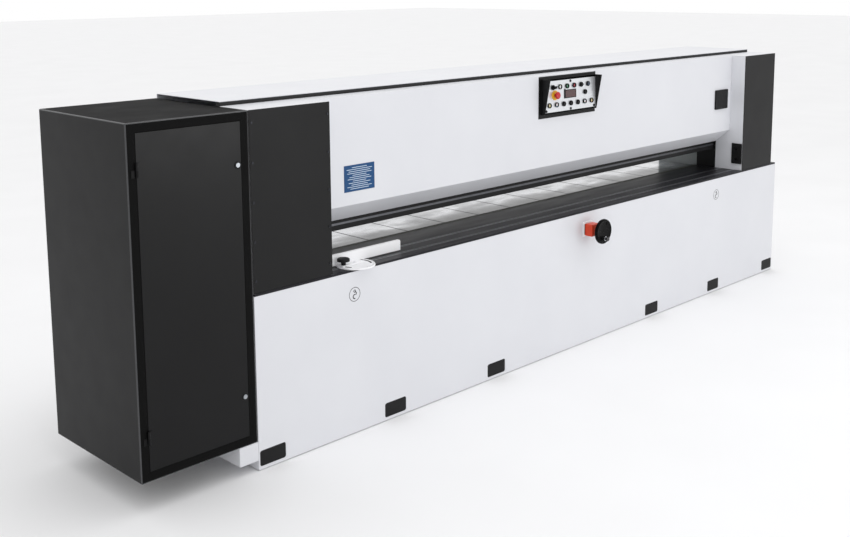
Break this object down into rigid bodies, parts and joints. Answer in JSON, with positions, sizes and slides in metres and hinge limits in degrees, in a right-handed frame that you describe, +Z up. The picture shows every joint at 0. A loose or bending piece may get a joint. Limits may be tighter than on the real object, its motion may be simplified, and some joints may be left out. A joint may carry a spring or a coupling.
{
  "type": "veneer guillotine",
  "caption": "Hydraulic veneer guillotine with a full-width throat, pressure beam, knife beam, back gauge, slotted table, operator console and electrical cabinet.",
  "frame": {"origin": "on the floor, at the middle of the overall length and depth", "axes": "+X along the length to the operator's right, +Y from the operator into the machine, +Z up"},
  "size_m": [5.748, 1.414, 1.782],
  "materials": {
    "white_paint": "semi-gloss powder coat",
    "black_paint": "satin powder coat",
    "charcoal_paint": "semi-gloss stoved enamel",
    "frame_paint": "grey machine enamel",
    "burnished_steel": "burnished and oiled",
    "ground_steel": "surface ground",
    "bright_steel": "turned and ground",
    "tool_steel": "ground and lapped",
    "aluminium": "anodised",
    "strip_plastic": "sawn polymer",
    "black_plastic": "moulded",
    "gloss_black": "moulded",
    "orange_plastic": "moulded",
    "yellow_plastic": "moulded",
    "black_steel": "blackened and oiled",
    "red_plastic": "moulded",
    "blue_plastic": "moulded",
    "lens_plastic": "translucent moulding",
    "display_plastic": "filter window",
    "blue_plate": "printed and lacquered",
    "zinc_steel": "zinc plated",
    "foot_iron": "as cast",
    "switch_plastic": "moulded"
  },
  "bodies": {
    "machine": {"base_frame": "frame_paint", "base_panels": "white_paint", "bed_beam": "frame_paint", "button_bezels": "gloss_black", "button_station": "black_plastic", "cabinet_body": "charcoal_paint", "cabinet_bracket": "white_paint", "console_display": "display_plastic", "console_face": "aluminium", "console_housing": "black_paint", "cover_screws": "black_steel", "cutting_strip": "strip_plastic", "door_hinges": "charcoal_paint", "end_covers": "black_paint", "end_frames": "frame_paint", "estop_disc": "yellow_plastic", "fence_protractor": "white_paint", "foot_access_covers": "black_plastic", "front_apron": "white_paint", "front_cover": "white_paint", "front_table": "burnished_steel", "gauge_bearings": "bright_steel", "housings": "white_paint", "hydraulic_cylinders": "frame_paint", "hydraulic_power_pack": "frame_paint", "inspection_cover": "black_plastic", "instruction_plate": "blue_plate", "levelling_feet": "foot_iron", "pilot_lights": "lens_plastic", "position_indicator": "orange_plastic", "rear_cover": "white_paint", "rear_table_plates": "ground_steel", "switchgear": "switch_plastic", "table_slot_rails": "burnished_steel", "throat_liners": "black_paint", "top_lid": "white_paint", "upper_beam": "frame_paint"},
    "pressure_beam": {"pressure_beam": "black_paint"},
    "knife_beam": {"knife_beam": "frame_paint", "knife": "tool_steel"},
    "back_gauge": {"gauge_beam": "frame_paint"},
    "left_gauge_screw": {"left_gauge_screw": "bright_steel"},
    "right_gauge_screw": {"right_gauge_screw": "bright_steel"},
    "cross_shaft": {"cross_shaft": "bright_steel"},
    "handwheel": {"handwheel": "gloss_black"},
    "handwheel_grip": {"handwheel_grip": "gloss_black"},
    "fence": {"fence_bar": "white_paint"},
    "clamp_knob": {"clamp_knob": "black_plastic"},
    "cabinet_door": {"cabinet_door": "charcoal_paint"},
    "upper_door_lock": {"upper_door_lock": "zinc_steel"},
    "lower_door_lock": {"lower_door_lock": "zinc_steel"},
    "estop_button": {"estop_button": "red_plastic"},
    "key_switch": {"key_switch": "gloss_black"},
    "selector_switch": {"selector_switch": "gloss_black"},
    "blue_button": {"blue_button": "blue_plastic"},
    "black_button": {"black_button": "gloss_black"},
    "row_button_left": {"row_button_left": "gloss_black"},
    "row_button_middle": {"row_button_middle": "gloss_black"},
    "row_button_right": {"row_button_right": "gloss_black"},
    "upper_cut_button": {"upper_cut_button": "gloss_black"},
    "lower_cut_button": {"lower_cut_button": "gloss_black"}
  },
  "joints": [
    {"name": "pressure_slide", "type": "slide", "parent": "machine", "child": "pressure_beam", "axis": [0, 0, -1], "range_m": [0, 0.1475]},
    {"name": "knife_slide", "type": "slide", "parent": "machine", "child": "knife_beam", "axis": [0, 0, -1], "range_m": [0, 0.1625]},
    {"name": "gauge_slide", "type": "slide", "parent": "machine", "child": "back_gauge", "axis": [0, -1, 0], "range_m": [0, 0.52]},
    {"name": "left_screw_turn", "type": "hinge", "parent": "machine", "child": "left_gauge_screw", "pos_m": [-1.786, 0.497, 0.762], "axis": [0, 1, 0], "range_deg": [-10, 9370]},
    {"name": "right_screw_turn", "type": "hinge", "parent": "machine", "child": "right_gauge_screw", "pos_m": [2.369, 0.497, 0.762], "axis": [0, 1, 0], "range_deg": [-10, 9370]},
    {"name": "cross_shaft_turn", "type": "hinge", "parent": "machine", "child": "cross_shaft", "pos_m": [0.2915, 0.607, 0.762], "axis": [1, 0, 0], "range_deg": [-10, 9370]},
    {"name": "handwheel_turn", "type": "hinge", "parent": "machine", "child": "handwheel", "pos_m": [0.371, -0.657, 0.762], "axis": [0, 1, 0], "range_deg": [-10, 9370]},
    {"name": "grip_turn", "type": "hinge", "parent": "handwheel", "child": "handwheel_grip", "pos_m": [0.379, -0.681, 0.716], "axis": [0, 1, 0], "continuous": true},
    {"name": "fence_swing", "type": "hinge", "parent": "machine", "child": "fence", "pos_m": [-1.551, -0.483, 0.89], "axis": [0, 0, 1], "range_deg": [-5, 20]},
    {"name": "clamp_turn", "type": "hinge", "parent": "fence", "child": "clamp_knob", "pos_m": [-1.633, -0.483, 0.89], "axis": [0, 0, 1], "range_deg": [0, 360]},
    {"name": "door_swing", "type": "hinge", "parent": "machine", "child": "cabinet_door", "pos_m": [-2.8295, -0.55, 1.555], "axis": [0, 0, -1], "range_deg": [0, 115]},
    {"name": "upper_door_lock_turn", "type": "hinge", "parent": "cabinet_door", "child": "upper_door_lock", "pos_m": [-2.309, -0.543, 1.512], "axis": [0, 1, 0], "range_deg": [0, 90]},
    {"name": "lower_door_lock_turn", "type": "hinge", "parent": "cabinet_door", "child": "lower_door_lock", "pos_m": [-2.309, -0.543, 0.398], "axis": [0, 1, 0], "range_deg": [0, 90]},
    {"name": "estop_press", "type": "slide", "parent": "machine", "child": "estop_button", "axis": [0, 0.9993, -0.0361], "range_m": [0, 0.006]},
    {"name": "key_turn", "type": "hinge", "parent": "machine", "child": "key_switch", "pos_m": [0.12, -0.44945, 1.6819], "axis": [0, -0.9993, 0.0361], "range_deg": [-90, 0]},
    {"name": "selector_turn", "type": "hinge", "parent": "machine", "child": "selector_switch", "pos_m": [0.408, -0.44945, 1.6819], "axis": [0, -0.9993, 0.0361], "range_deg": [-45, 45]},
    {"name": "blue_button_press", "type": "slide", "parent": "machine", "child": "blue_button", "axis": [0, 0.9993, -0.0361], "range_m": [0, 0.004], "stiffness_N_per_m": 400, "springref_m": -0.002},
    {"name": "black_button_press", "type": "slide", "parent": "machine", "child": "black_button", "axis": [0, 0.9993, -0.0361], "range_m": [0, 0.004], "stiffness_N_per_m": 400, "springref_m": -0.002},
    {"name": "row_button_left_press", "type": "slide", "parent": "machine", "child": "row_button_left", "axis": [0, 0.9993, -0.0361], "range_m": [0, 0.004], "stiffness_N_per_m": 400, "springref_m": -0.002},
    {"name": "row_button_middle_press", "type": "slide", "parent": "machine", "child": "row_button_middle", "axis": [0, 0.9993, -0.0361], "range_m": [0, 0.004], "stiffness_N_per_m": 400, "springref_m": -0.002},
    {"name": "row_button_right_press", "type": "slide", "parent": "machine", "child": "row_button_right", "axis": [0, 0.9993, -0.0361], "range_m": [0, 0.004], "stiffness_N_per_m": 400, "springref_m": -0.002},
    {"name": "upper_cut_button_press", "type": "slide", "parent": "machine", "child": "upper_cut_button", "axis": [1, 0, 0], "range_m": [0, 0.004], "stiffness_N_per_m": 400, "springref_m": -0.002},
    {"name": "lower_cut_button_press", "type": "slide", "parent": "machine", "child": "lower_cut_button", "axis": [1, 0, 0], "range_m": [0, 0.004], "stiffness_N_per_m": 400, "springref_m": -0.002}
  ],
  "couplings": [
    {"joint": "left_screw_turn", "follows": "gauge_slide", "rad_per_m": 314.16},
    {"joint": "right_screw_turn", "follows": "gauge_slide", "rad_per_m": 314.16},
    {"joint": "cross_shaft_turn", "follows": "gauge_slide", "rad_per_m": 314.16},
    {"joint": "handwheel_turn", "follows": "gauge_slide", "rad_per_m": 314.16}
  ]
}
